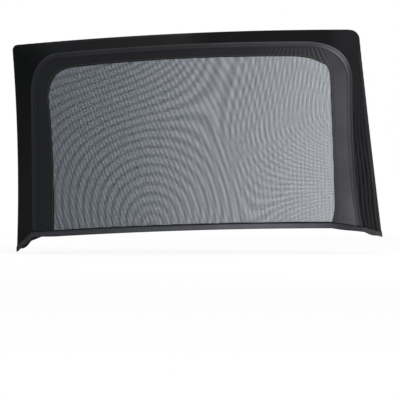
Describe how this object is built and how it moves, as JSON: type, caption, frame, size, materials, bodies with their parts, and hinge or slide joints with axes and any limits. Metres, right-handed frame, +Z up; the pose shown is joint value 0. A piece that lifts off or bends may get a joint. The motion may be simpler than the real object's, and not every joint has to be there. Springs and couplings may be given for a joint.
{
  "type": "car side window sunshade",
  "caption": "Pull-over sleeve of stretch mesh that shades a car's rear side window, with a close-knit border and an elastic hem.",
  "frame": {"origin": "under the middle of the shade's overall box, level with the lowest point of its hem", "axes": "+X to the rear of the car, +Y from the cabin to the street, +Z up; worn as on the closed or open rear door"},
  "size_m": [0.9686, 0.1086, 0.5798],
  "materials": {
    "net": "open stretch mesh of matt black polyester, see-through",
    "band_cloth": "close-knit charcoal polyester, matt with a faint sheen",
    "wall_cloth": "close-knit near-black polyester, matt",
    "tape": "woven black polyester tape",
    "elastic": "braided black elastic",
    "thread": "spun black polyester sewing thread"
  },
  "bodies": {
    "root": {"cabin_net": "net", "street_net": "net", "cabin_band": "band_cloth", "street_band": "band_cloth", "side_wall": "wall_cloth", "ridge_welt": "tape", "seam_binding": "tape", "hem_casing": "tape", "hem_elastic": "elastic", "band_thread": "thread", "binding_thread": "thread", "hem_thread": "thread"}
  },
  "joints": []
}
